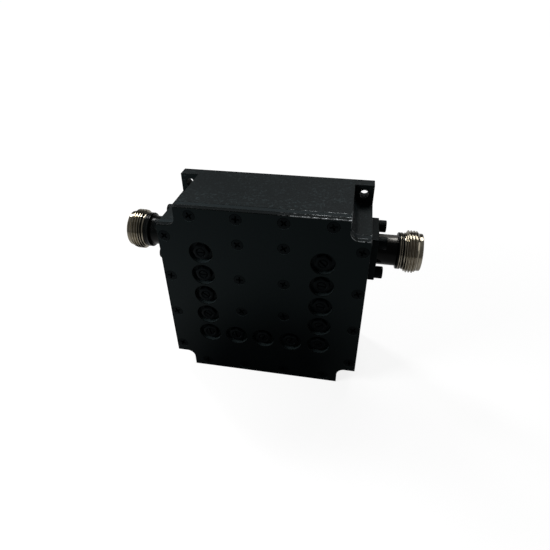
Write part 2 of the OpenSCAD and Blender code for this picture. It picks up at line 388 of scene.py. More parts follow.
def fastener_tree() -> Tree:
    """Builds the tree that puts a fastener at each place, each turned a step further than the one before."""
    inputs = {"Fastener": "Object", "Turn Step": "Float", "Turn Axis": "Vector", "Finish": "Material"}
    tree, node = open_tree("fastener_pattern", inputs)
    given = node.outputs
    fastener = add_node(tree, "GeometryNodeObjectInfo", links=[given["Fastener"]]).outputs["Geometry"]
    index = add_node(tree, "GeometryNodeInputIndex").outputs[0]
    turn = add_node(tree, "ShaderNodeMath", {"operation": "MULTIPLY"}, [index, given["Turn Step"]]).outputs[0]
    spin = {"Axis": given["Turn Axis"], "Angle": turn}
    rotation = add_node(tree, "FunctionNodeAxisAngleToRotation", links=spin).outputs[0]
    placing = {"Points": given["Geometry"], "Instance": fastener, "Rotation": rotation}
    set_out = add_node(tree, "GeometryNodeInstanceOnPoints", links=placing).outputs[0]
    return close_tree(tree, set_out, given["Finish"])


def thread_tree() -> Tree:
    """Builds the tree that cuts a right-hand coupling thread round an axis along X.

    Rows of a grid follow the helix and columns lie along the axis.
    So each ridge runs unbroken round the jack.
    """
    sizes = ("Side", "Start", "End", "Pitch", "Crest Radius", "Depth", "Core Radius", "Axis Y", "Axis Z")
    counts = ("Rows", "Steps", "Segments")
    inputs = dict.fromkeys(sizes, "Float") | dict.fromkeys(counts, "Int") | {"Finish": "Material"}
    tree, given = open_tree("coupling_thread", inputs)
    # Where the crest ends and the root begins, in pitches from the middle of the ridge
    crest_end, root_start = 1 / 16, 3 / 8
    flank = 1 / (root_start - crest_end)
    bevel_depth, back_slope = 0.9, 1.5
    place = add_node(tree, "GeometryNodeInputPosition").outputs[0]
    split = add_node(tree, "ShaderNodeSeparateXYZ", links=[place])
    value = {socket.name: socket for socket in (*given.outputs, *split.outputs)}
    formulas = (
        # A grid whose corners lie at whole numbers gives each row and column its number
        ("length", "SUBTRACT", "Rows", 1.0),
        ("columns", "ADD", "Segments", 1.0),
        ("half length", "DIVIDE", "length", 2.0),
        ("row", "ADD", "X", "half length"),
        ("half width", "DIVIDE", "Segments", 2.0),
        ("column", "ADD", "Y", "half width"),
        ("around", "DIVIDE", "column", "Segments"),
        # Turns along the helix, from one turn before the start, clamped to the thread's length
        ("rows passed", "SUBTRACT", "row", 1.0),
        ("rounds", "DIVIDE", "rows passed", "Steps"),
        ("later rounds", "SUBTRACT", "rounds", 1.0),
        ("turns", "ADD", "later rounds", "around"),
        ("helix", "MULTIPLY_ADD", "turns", "Pitch", "Start"),
        ("helix", "MAXIMUM", "helix", "Start"),
        ("helix", "MINIMUM", "helix", "End"),
        # Height of the ridge: 60 degree flanks, a crest an eighth of the pitch wide and a root a quarter
        ("gone", "SUBTRACT", "helix", "Start"),
        ("left", "SUBTRACT", "End", "helix"),
        ("phase", "DIVIDE", "gone", "Pitch"),
        ("phase", "SUBTRACT", "phase", "around"),
        ("phase", "FRACT", "phase"),
        ("phase", "SUBTRACT", "phase", 0.5),
        ("phase", "ABSOLUTE", "phase"),
        ("ridge", "MULTIPLY_ADD", "phase", -flank, root_start * flank),
        ("ridge", "MAXIMUM", "ridge", 0.0),
        ("ridge", "MINIMUM", "ridge", 1.0),
        ("root", "SUBTRACT", "Crest Radius", "Depth"),
        ("radius", "MULTIPLY_ADD", "ridge", "Depth", "root"),
        # Bevels that the thread runs into at both ends
        ("bevel", "SUBTRACT", "Crest Radius", bevel_depth),
        ("front bevel", "ADD", "bevel", "left"),
        ("back bevel", "MULTIPLY_ADD", "gone", back_slope, "bevel"),
        ("radius", "MINIMUM", "radius", "front bevel"),
        ("radius", "MINIMUM", "radius", "back bevel"),
        # The first and the last two rows lie at the core, and the last one closes the ring
        ("ridge end", "SUBTRACT", "Rows", 2.5),
        ("opens", "LESS_THAN", "row", 0.5),
        ("closes", "GREATER_THAN", "row", "ridge end"),
        ("at core", "MAXIMUM", "opens", "closes"),
        ("inwards", "SUBTRACT", "Core Radius", "radius"),
        ("radius", "MULTIPLY_ADD", "inwards", "at core", "radius"),
        ("last row", "SUBTRACT", "Rows", 1.5),
        ("returns", "GREATER_THAN", "row", "last row"),
        ("backwards", "MULTIPLY", "gone", "returns"),
        ("station", "SUBTRACT", "helix", "backwards"),
        # Round the axis
        ("angle", "MULTIPLY", "around", "Side"),
        ("angle", "MULTIPLY", "angle", 2 * math.pi),
        ("cosine", "COSINE", "angle"),
        ("sine", "SINE", "angle"),
        ("x", "MULTIPLY", "station", "Side"),
        ("y", "MULTIPLY_ADD", "radius", "cosine", "Axis Y"),
        ("z", "MULTIPLY_ADD", "radius", "sine", "Axis Z"),
    )
    for result, operation, *terms in formulas:
        links = [value[term] if isinstance(term, str) else term for term in terms]
        value[result] = add_node(tree, "ShaderNodeMath", {"operation": operation}, links).outputs[0]
    spans = [value[name] for name in ("length", "Segments", "Rows", "columns")]
    grid = add_node(tree, "GeometryNodeMeshGrid", links=spans).outputs["Mesh"]
    point = add_node(tree, "ShaderNodeCombineXYZ", links=[value[axis] for axis in "xyz"]).outputs[0]
    wound = add_node(tree, "GeometryNodeSetPosition", links={"Geometry": grid, "Position": point}).outputs[0]
    seams = {"Geometry": wound, "Distance": WELD}
    merged = add_node(tree, "GeometryNodeMergeByDistance", links=seams).outputs[0]
    return close_tree(tree, merged, value["Finish"])


def grow(tree: Tree, points: list[Vector], inputs: dict[str, object]) -> Piece:
    """Runs a Geometry Nodes tree on a set of points.

    Args:
        tree: Tree to run.
        points: Places that the tree works from.
        inputs: Values of the tree's inputs, by their names.

    Returns:
        A new object with the result as plain mesh, its faces outwards.
    """
    mesh = bpy.data.meshes.new("points")
    mesh.from_pydata(points, [], [])
    piece = placed_in_scene(mesh)
    modifier = piece.modifiers.new(tree.name, "NODES")
    modifier.node_group = tree
    for item in tree.interface.items_tree:
        if item.in_out == "INPUT" and item.name in inputs:
            modifier[item.identifier] = inputs[item.name]
    settle(piece)
    shape = bmesh.new()
    shape.from_mesh(piece.data)
    bmesh.ops.dissolve_degenerate(shape, dist=WELD / 5, edges=shape.edges)
    bmesh.ops.recalc_face_normals(shape, faces=shape.faces)
    shape.to_mesh(piece.data)
    shape.free()
    return piece


# Finishes


@dataclass(frozen=True)
class Finish:
    """A surface finish: the shader values that are the same all over it."""

    name: str
    colour: str
    roughness: float
    specular: float = 0.5
    sheen: str = "#ffffff"
    metallic: float = 0.0

    def shader(self) -> tuple[Material, Tree, Node, Socket]:
        """Makes the material, its tree, its shader with the plain values, and its Object coordinates."""
        material = bpy.data.materials.new(self.name)
        material.use_nodes = True
        tree = material.node_tree
        shader = tree.nodes["Principled BSDF"]
        shader.inputs["Base Color"].default_value = linear(self.colour)
        shader.inputs["Roughness"].default_value = self.roughness
        shader.inputs["Metallic"].default_value = self.metallic
        shader.inputs["Specular IOR Level"].default_value = self.specular
        shader.inputs["Specular Tint"].default_value = linear(self.sheen)
        return material, tree, shader, add_node(tree, "ShaderNodeTexCoord").outputs["Object"]

    def blend(self, tree: Tree, shader: Node, share: Socket, tone: str) -> None:
        """Blends a second tone into the finish's colour.

        Args:
            tree: Tree of the material.
            shader: Its shader.
            share: How much of the second tone shows.
            tone: The second tone, as an sRGB hex value.
        """
        tones = {0: share, 6: linear(self.colour), 7: linear(tone)}
        colour = add_node(tree, "ShaderNodeMix", {"data_type": "RGBA"}, tones).outputs[2]
        tree.links.new(colour, shader.inputs["Base Color"])

    def roughen(
        self, tree: Tree, shader: Node, polish: Socket, spread: float, height: Socket, relief: float
    ) -> None:
        """Varies the roughness, and raises a fine relief.

        Args:
            tree: Tree of the material.
            shader: Its shader.
            polish: Pattern that the roughness follows.
            spread: How far the roughness goes to either side.
            height: Pattern that the relief follows.
            relief: Height of the relief in millimetres.
        """
        ends = {"Value": polish, "To Min": self.roughness - spread, "To Max": self.roughness + spread}
        uneven = add_node(tree, "ShaderNodeMapRange", links=ends).outputs[0]
        tree.links.new(uneven, shader.inputs["Roughness"])
        raised = {"Height": height, "Distance": relief / METRE, "Strength": 1.0}
        bump = add_node(tree, "ShaderNodeBump", links=raised).outputs[0]
        tree.links.new(bump, shader.inputs["Normal"])


@dataclass(frozen=True)
class SprayedPaint(Finish):
    """Paint baked on metal: specks of a lighter tone in loose clouds, and a fine orange peel."""

    speck: str = "#ffffff"
    speck_size: float = 0.8
    speck_share: float = 0.5
    cloud_size: float = 14.0
    relief: float = 0.01

    def material(self) -> Material:
        """Builds the paint's material."""
        material, tree, shader, place = self.shader()
        fine = {"Vector": place, "Scale": METRE / self.speck_size, "Detail": 2.0, "Roughness": 0.6}
        grain = add_node(tree, "ShaderNodeTexNoise", links=fine).outputs["Fac"]
        coarse = {"Vector": place, "Scale": METRE / self.cloud_size, "Detail": 3.0}
        cloud = add_node(tree, "ShaderNodeTexNoise", links=coarse).outputs["Fac"]
        patches = {"Value": cloud, "From Min": 0.42, "From Max": 0.6, "To Min": 0.25}
        thick = add_node(tree, "ShaderNodeMapRange", links=patches).outputs[0]
        # A larger share lowers the level of the noise at which specks begin
        low = 0.62 - 0.2 * self.speck_share
        peaks = {"Value": grain, "From Min": low, "From Max": low + 0.2, "To Max": thick}
        specks = add_node(tree, "ShaderNodeMapRange", links=peaks).outputs[0]
        self.blend(tree, shader, specks, self.speck)
        self.roughen(tree, shader, cloud, 0.08, grain, self.relief)
        return material


@dataclass(frozen=True)
class RubbedEdgeWithHighlight(Finish):
    """Paint with bare metal in patches at the upper right: partly wear, partly a painted highlight where the
    lamps' light falls.

    The patches, wear and painted highlight, come on above a height, right of a line and in front of a depth.
    """

    highlight_metal: str = "#8a8f90"
    patch_size: float = 1.8
    bare_highlight_share: float = 0.5
    highlight_above: float = 68.0
    highlight_right_of: float = 6.0
    highlight_before: float = -9.0

    def material(self) -> Material:
        """Builds the edge's material."""
        material, tree, shader, place = self.shader()
        split = add_node(tree, "ShaderNodeSeparateXYZ", links=[place]).outputs
        # Axis, where the painted highlight and wear begin along it, and over how many millimetres they come
        # on
        ramps = (
            ("Z", self.highlight_above, 2.0),
            ("X", self.highlight_right_of, 9.0),
            ("Y", self.highlight_before, -2.0),
        )
        lit_region: float | Socket = 1.0
        for axis, start, reach in ramps:
            ramp = {"From Min": start / METRE, "From Max": (start + reach) / METRE, "To Max": lit_region}
            lit_region = add_node(tree, "ShaderNodeMapRange", links={"Value": split[axis], **ramp}).outputs[0]
        blotches = {"Vector": place, "Scale": METRE / self.patch_size, "Detail": 4.0, "Roughness": 0.65}
        patches = add_node(tree, "ShaderNodeTexNoise", links=blotches).outputs["Fac"]
        # A larger share lowers the level of the noise at which patches begin
        low = 0.66 - 0.3 * self.bare_highlight_share
        # Pale bare metal in patches, only inside the lit region: painted highlight as well as wear
        worn_and_lit = {"Value": patches, "From Min": low, "From Max": low + 0.2, "To Max": lit_region}
        bare_and_highlight = add_node(tree, "ShaderNodeMapRange", links=worn_and_lit).outputs[0]
        tree.links.new(bare_and_highlight, shader.inputs["Metallic"])
        self.blend(tree, shader, bare_and_highlight, self.highlight_metal)
        return material


@dataclass(frozen=True)
class WorkedMetal(Finish):
    """Plated, oxidised or painted metal: soft patches of a second tone, and tool marks across one axis."""

    tarnish: str = "#808080"
    patch_size: float = 2.5
    # Axis that the marks lie across: 0 for X, 1 for Y
    mark_axis: int = 0
    mark_spacing: float = 0.14
    mark_length: float = 40.0
    relief: float = 0.002

    def material(self) -> Material:
        """Builds the metal's material."""
        material, tree, shader, place = self.shader()
        soft = {"Vector": place, "Scale": METRE / self.patch_size, "Detail": 3.0}
        patches = add_node(tree, "ShaderNodeTexNoise", links=soft).outputs["Fac"]
        tarnished = {"Value": patches, "From Min": 0.35, "From Max": 0.7}
        shade = add_node(tree, "ShaderNodeMapRange", links=tarnished).outputs[0]
        self.blend(tree, shader, shade, self.tarnish)
        stretch = [METRE / self.mark_length] * 3
        stretch[self.mark_axis] = METRE / self.mark_spacing
        along = add_node(tree, "ShaderNodeMapping", links={"Vector": place, "Scale": stretch}).outputs[0]
        fine = {"Vector": along, "Scale": 1.0, "Detail": 2.0}
        marks = add_node(tree, "ShaderNodeTexNoise", links=fine).outputs["Fac"]
        self.roughen(tree, shader, marks, 0.06, marks, self.relief)
        return material


class Palette:
    """The filter's materials."""

    def __init__(self) -> None:
        """Builds each finish's material."""
        # Most black paints and oxides mirror light a little bluish
        cool = "#dff2f5"
        # Textured black powder coat on milled aluminium: its grain catches the light as fine specks.
        # The grain is drawn at 0.9 mm, about twice its real size, so that it shows at the photograph's scale
        self.body_paint = SprayedPaint(
            "black_powder_coat", "#0b0f10", 0.48, 0.09, cool,
            speck="#262f31", speck_size=0.9, speck_share=0.4, relief=0.06,
        ).material()
        # The same coat on the thin inner lid, drawn lighter than the block's: painted light where the lid
        # shows in the cover's holes, in the shade of their rims
        self.lid_paint = SprayedPaint(
            "black_powder_coat_lid", "#13191b", 0.44, 0.08, cool,
            speck="#1b2224", speck_share=0.3, relief=0.03,
        ).material()
        # Smoother satin black on the cover: nearly even, and darker than the block, partly its own finish and
        # partly painted shade for the front, which faces away from the lamps.
        # It faintly mirrors the floor
        self.cover_paint = SprayedPaint(
            "satin_black_paint", "#060809", 0.32, 0.1, "#cdf0f2",
            speck="#070a0b", speck_size=0.9, relief=0.004,
        ).material()
        # The walls of the cover's holes get a greyer paint than its face: painted light, so that the lower
        # walls, which face up, show pale crescents
        self.bore_paint = SprayedPaint(
            "thin_paint_in_holes", "#1a2021", 0.3, 0.12, speck="#252b2e", relief=0.004
        ).material()
        # Paint rubbed on the cover's rim: a broken pale line of bare metal at the upper right, partly wear
        # and partly a painted highlight
        self.cover_edge = RubbedEdgeWithHighlight(
            "rubbed_cover_edge", "#040606", 0.26, 0.06, highlight_metal="#a3a8aa", bare_highlight_share=0.9
        ).material()
        # The block's edges hold their coat better, so the line and its painted highlight are fainter
        self.body_edge = RubbedEdgeWithHighlight(
            "rubbed_body_edge", "#060909", 0.3, 0.08, highlight_metal="#8b9092", bare_highlight_share=0.75
        ).material()
        # Black oxide on steel screws: dark, with a dull glint
        self.screw_black = WorkedMetal(
            "black_oxide_steel", "#040607", 0.26, 0.055, cool, tarnish="#030405", patch_size=0.9, mark_axis=1
        ).material()
        # Blackened tuning screws and their nuts, a little duller
        self.tuner_black = WorkedMetal(
            "blackened_tuner_steel", "#060809", 0.28, 0.04, cool,
            tarnish="#040506", patch_size=0.8, mark_axis=1,
        ).material()
        # Bright nickel on turned brass: warm grey with fine lathe rings
        self.nickel = WorkedMetal(
            "bright_nickel_on_brass", "#a39c8d", 0.14, metallic=1.0, tarnish="#857e6f", mark_spacing=0.12
        ).material()
        # Black paint over the turned collar: satin, with the lathe rings under it
        self.collar_paint = WorkedMetal(
            "black_paint_on_turned_brass", "#030404", 0.2, 0.1, tarnish="#050606", mark_spacing=0.3
        ).material()
        # The same paint on the neck.
        # Along the top of the right-hand one, where the light falls, it shows a pale streak of bare metal: a
        # painted highlight
        self.neck_paint = RubbedEdgeWithHighlight(
            "rubbed_paint_on_neck", "#030404", 0.2, 0.08,
            highlight_metal="#a3a09a", patch_size=0.8, bare_highlight_share=1.2, highlight_above=60.9, highlight_before=4.0,
        ).material()
        # The flange's coat is duller than the neck's
        self.flange_paint = SprayedPaint(
            "black_paint_on_flange", "#060a0b", 0.45, 0.06, cool, speck="#11171a", relief=0.02
        ).material()
        # Turned fluoropolymer: matt white and faintly grey where it was cut
        self.insulator_white = SprayedPaint(
            "white_fluoropolymer", "#dcdcd4", 0.5, 0.4, speck="#e8e8e2", speck_size=1.2, relief=0.003
        ).material()
        # Gold flash on bronze: deep yellow, slightly dulled
        self.contact_gold = WorkedMetal(
            "gold_plated_bronze", "#c69a4a", 0.25, metallic=1.0, tarnish="#a87c35", patch_size=0.8
        ).material()
        # Silver plate in the cavities: pale, with cloudy yellow tarnish
        self.silver = WorkedMetal(
            "silver_plate", "#cfcdc6", 0.3, metallic=1.0, tarnish="#b3ab98", patch_size=4.0, mark_axis=1
        ).material()
        # Zinc on the posts' screws: cool grey
        self.zinc = WorkedMetal(
            "zinc_plated_steel", "#a3a7ab", 0.35, metallic=1.0, tarnish="#8d9197", patch_size=0.9, mark_axis=1
        ).material()


# Sub-assemblies


@dataclass
class Enclosure:
    """The painted block, its tuning lid and its cover.

    Shares of the edge radius say how far each rim is rounded. Standing edges lose a part of it.
    A rim whose walls are no deeper than a countersink stays sharp.
    """

    half_width: float = 38.0
    notch_x: float = 30.8
    notch_z: float = 7.5
    edge_radius: float = 0.25
    seam_share: float = 0.6
    inner_rim_share: float = 0.2
    cover_rim_share: float = 0.7
    steep_loss: float = 0.6
    countersink_wall: float = 1.0
    # Angle in degrees up to which neighbouring faces are merged as flat
    flat_angle: float = 0.4
    # A face whose normal has less than this along Y is a wall
    wall_tilt: float = 0.1

    def on_outline(self, point: Vector) -> bool:
        """Tells whether a point lies on the block's outline or in one of its notches."""
        low, high = self.notch_z + NEAR, BLOCK_HEIGHT - self.notch_z - NEAR
        border = abs(point.x) > self.half_width - NEAR or not NEAR < point.z < BLOCK_HEIGHT - NEAR
        return border or (abs(point.x) > self.notch_x - NEAR and not low < point.z < high)

    def rounding(self, line: bmesh.types.BMEdge, outline_share: float, hole_share: float) -> float:
        """Gives the share of the edge radius that an edge gets.

        Args:
            line: Edge of a plate.
            outline_share: Share on the outline.
            hole_share: Share on the rims of holes.

        Returns:
            The edge's own share.
        """
        if all(self.on_outline(corner.co) for corner in line.verts):
            steep = abs((line.verts[1].co - line.verts[0].co).normalized().z)
            return outline_share * (1 - self.steep_loss * steep)
        walls = [corner.co.y for face in line.link_faces for corner in face.verts]
        return hole_share if max(walls) - min(walls) > self.countersink_wall else 0.0

    def plate(
        self, node: str, name: str, finish: list[Material], slot: str, outline: float, holes: float
    ) -> None:
        """Copies a CAD node with its doubles merged, and rounds and rubs its edges.

        Args:
            node: CAD node that the piece replaces.
            name: Name of the piece.
            finish: Materials of its faces and of its rounded edges, and of the walls of its straight holes.
            slot: The record's material slot.
            outline: Share of the edge radius that its outline gets.
            holes: Share that the rims of its holes get.
        """
        shape = bmesh.new()
        shape.from_mesh(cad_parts[node].data)
        bmesh.ops.scale(shape, vec=(METRE,) * 3, verts=shape.verts)
        bmesh.ops.remove_doubles(shape, verts=shape.verts, dist=WELD)
        flat = {"angle_limit": math.radians(self.flat_angle), "delimit": {"NORMAL"}}
        bmesh.ops.dissolve_limit(shape, verts=shape.verts, edges=shape.edges, **flat)
        weights = shape.edges.layers.float.new("bevel_weight_edge")
        for line in shape.edges:
            if len(line.link_faces) == 2 and line.calc_face_angle() > SHARP_ABOVE:
                line[weights] = self.rounding(line, outline, holes)
        for face in shape.faces if len(finish) > 2 else ():
            inside = not any(self.on_outline(corner.co) for corner in face.verts)
            if inside and abs(face.normal.y) < self.wall_tilt:
                face.material_index = 2
        mesh = bpy.data.meshes.new(name)
        shape.to_mesh(mesh)
        shape.free()
        for material in finish:
            mesh.materials.append(material)
        piece = soften(placed_in_scene(mesh), self.edge_radius, "WEIGHT", edge_slot=1)
        deliver(piece, name, finish, slot, node, faceted=False)

    def build(self, palette: Palette) -> None:
        """Makes the three plates of the enclosure."""
        seam, rim = self.seam_share, self.inner_rim_share
        block = [palette.body_paint, palette.body_edge]
        self.plate("housing", "housing_body", block, "housing_paint", seam, rim)
        lid = [palette.lid_paint, palette.body_edge]
        self.plate("tuning_lid", "tuning_lid_plate", lid, "lid_paint", seam, rim)
        cover = [palette.cover_paint, palette.cover_edge, palette.bore_paint]
        self.plate("cover", "cover_plate", cover, "cover_paint", 1.0, self.cover_rim_share)


@dataclass
class Fasteners:
    """Screws and nuts that hold the filter together, in sets of the same kind."""

    tree: Tree
    cross_length: float = 2.7
    cross_width: float = 0.6
    cross_depth: float = 1.0
    cross_core: float = 0.62
    slot_length: float = 12.0
    slot_width: float = 0.6
    slot_depth: float = 0.8
    socket_flats: float = 2.0
    socket_depth: float = 1.2
    cover_head: float = 2.2
    cover_shank: float = 1.25
    cover_length: float = 8.0
    tuner_radius: float = 1.5
    nut_flats: float = 5.5
    nut_height: float = 1.8
    nut_bore: float = 1.55
    knurl: float = 0.11
    turn_step: float = 37.0

    def recess(self, piece: Piece, drive: Drive) -> Piece:
        """Cuts a screw's drive into its end at the origin.

        Args:
            piece: Screw with its end at the origin and its tip towards +Z.
            drive: Kind of recess.

        Returns:
            The same screw.
        """
        if drive is Drive.SLOT:
            return carve(piece, tapered_bar(self.slot_length, self.slot_width, self.slot_depth, 0.04))
        if drive is Drive.SOCKET:
            reach, depth = self.socket_flats / math.sqrt(3), self.socket_depth
            bevelled = ((1.12, -0.1), (1.0, 0.12), (1.0, depth))
            walls = [ring(6, reach * share, rise) for share, rise in bevelled]
            return carve(piece, skin([*walls, ring(1, 0, depth + 0.4)]))
        for turn in (0, 90):
            bar = tapered_bar(self.cross_length, self.cross_width, self.cross_depth, 0.12)
            carve(piece, move(bar, Matrix.Rotation(math.radians(turn), 4, "Z")))
        core, depth = self.cross_core, self.cross_depth
        middle = [(0, -CLEAR), (core, -CLEAR), (core, 0), (0.2, depth + 0.1), (0, depth + 0.25)]
        return carve(piece, turned(middle, 24))

    def countersunk(self) -> Piece:
        """Makes a countersunk cover screw, its face at the origin and its tip towards +Z."""
        head, shank, length = self.cover_head, self.cover_shank, self.cover_length
        profile = [(0, 0), (head - 0.3, 0), (head - 0.08, 0.03), (head, 0.13), (head - 0.01, 0.2)]
        profile += [(shank + 0.01, 1.12), (shank, 1.3), (shank, length - 0.3)]
        profile += [(shank - 0.25, length), (0, length)]
        return self.recess(turned(profile, 48), Drive.CROSS)

    def slotted(self, length: float) -> Piece:
        """Makes a headless slotted screw of a length, its slotted end at the origin."""
        radius = self.tuner_radius
        profile = [(0, 0), (radius - 0.3, 0), (radius, 0.28), (radius, length - 0.4)]
        return self.recess(turned([*profile, (radius - 0.35, length), (0, length)], 40), Drive.SLOT)

    def cap_screw(self, head: float, height: float, shank: float, length: float) -> Piece:
        """Makes a socket cap screw with a knurled head, the head's face at the origin and its tip towards +Z.

        Args:
            head: Diameter of the head.
            height: Height of the head.
            shank: Diameter of the shank.
            length: Length under the head.

        Returns:
            The screw.
        """
        sides, reach, total = 64, head / 2, height + length
        rings = [ring(1, 0, 0), ring(sides, reach - 0.32, 0), ring(sides, reach - 0.1, 0.09)]
        rings += [ring(sides, reach, rise, self.knurl) for rise in (0.3, height - 0.25)]
        rings += [ring(sides, reach - 0.12, height), ring(sides, shank / 2, height)]
        rings += [ring(sides, shank / 2, total - 0.3), ring(sides, shank / 2 - 0.25, total)]
        rings.append(ring(1, 0, total))
        return self.recess(skin(rings), Drive.SOCKET)

    def hexagon_nut(self) -> Piece:
        """Makes a thin hexagon nut with bevelled corners and bore, standing on the origin towards +Z."""
        reach, height, bore = self.nut_flats / math.sqrt(3), self.nut_height, self.nut_bore
        nut = skin([ring(6, reach, 0), ring(6, reach, height)])
        flats = self.nut_flats / 2 * 0.96
        rise = (reach - flats) * math.tan(math.radians(30))
        over = reach + NEAR
        cone = [(0, 0), (flats, 0), (over, rise), (over, height - rise), (flats, height), (0, height)]
        carve(nut, turned(cone, 96), "INTERSECT")
        bevel, mouth = 0.3, bore + 0.4
        hole = [(0, -CLEAR), (mouth, -CLEAR), (mouth, 0), (bore, bevel), (bore, height - bevel)]
        hole += [(mouth, height), (mouth, height + CLEAR), (0, height + CLEAR)]
        return carve(nut, turned(hole, 40))

    def set_out(
        self,
        fastener: Piece,
        facing: Matrix,
        places: list[Vector],
        turn: tuple[float, Vector],
        material: Material,
        labels: tuple[str, str, str],
    ) -> None:
        """Puts a fastener at each of its places with Geometry Nodes.

        Args:
            fastener: Fastener along +Z, which is used up.
            facing: Turn that points it the right way.
            places: Where the fasteners' origins go.
            turn: Step in degrees between neighbours, and the axis.
            material: Material of the set.
            labels: Name of the piece, the record's material slot and the CAD node that the piece replaces.
        """
        move(fastener, facing)
        step, axis = turn
        inputs = {"Fastener": fastener, "Turn Step": math.radians(step), "Turn Axis": list(axis)}
        piece = grow(self.tree, places, {**inputs, "Finish": material})
        bpy.data.objects.remove(fastener)
        name, slot, node = labels
        deliver(piece, name, [material], slot, node)


@dataclass
class FrontHardware:
    """Screws and nuts on the filter's front."""

    fasteners: Fasteners
    front: float = -16.75
    lid_front: float = -14.75
    column: float = 22.3
    row: float = 20.0
    row_pitch: float = 19.5
    end_inset: float = 3.1
    side_x: float = 35.4
    end_pitch: float = 16.7
    side_pitch: float = 17.7
    island_row: float = 33.0
    island_pitch: float = 15.4
    head_sink: float = 0.1
    tuner_sink: float = 0.2
    tuner_length: float = 10.0
    coupler_length: float = 14.0

    def posts(self) -> list[Vector]:
        """Gives the places of the seven tuning screws, down the left column and up the right one."""
        rows = [self.row + i * self.row_pitch for i in range(3)]
        left = [Vector((-self.column, 0, z)) for z in reversed(rows)]
        return [*left, Vector((0, 0, rows[0])), *(Vector((self.column, 0, z)) for z in rows)]

    def couplers(self) -> list[Vector]:
        """Gives the places of the six coupling screws, halfway between tuning screws."""
        posts = self.posts()
        return [(low + high) / 2 for low, high in zip(posts, posts[1:])]

    def cover_screws(self) -> list[Vector]:
        """Gives the places of the twenty-two cover screws, in the CAD source's order."""
        fours, half = (-1.5, -0.5, 0.5, 1.5), self.end_pitch / 2
        end_rows = (self.end_inset, BLOCK_HEIGHT - self.end_inset)
        ends = [(i * self.end_pitch, z) for z in end_rows for i in fours]
        sides = [(s * self.side_x, BLOCK_HEIGHT / 2 + i * self.side_pitch) for s in (-1, 1) for i in fours]
        island = [(s * half, self.island_row + i * self.island_pitch) for s in (-1, 1) for i in range(3)]
        return [Vector((x, 0, z)) for x, z in (*ends, *sides, *island)]

    def build(self, palette: Palette) -> None:
        """Makes the cover screws, the lock nuts and both sets of tuning screws."""
        kit, posts, couplers = self.fasteners, self.posts(), self.couplers()
        flush, sunk = self.front + self.head_sink, self.front + self.tuner_sink
        nut_face = self.lid_front - kit.nut_height
        tuner, coupler = kit.slotted(self.tuner_length), kit.slotted(self.coupler_length)
        black, dull = palette.screw_black, palette.tuner_black
        sets = (
            ("cover_screw", kit.countersunk(), self.cover_screws(), flush, black, "black_screw"),
            ("lock_nut", kit.hexagon_nut(), posts + couplers, nut_face, dull, "black_nut"),
            ("tuning_screw", tuner, posts, sunk, dull, "tuner_steel"),
            ("coupling_screw", coupler, couplers, sunk, dull, "tuner_steel"),
        )
        backwards = Matrix.Rotation(math.radians(-90), 4, "X")
        turn = (kit.turn_step, Vector((0, 1, 0)))
        for name, fastener, places, y, material, slot in sets:
            at = [place + Vector((0, y, 0)) for place in places]
            kit.set_out(fastener, backwards, at, turn, material, (name + "_set", slot, name + "s"))


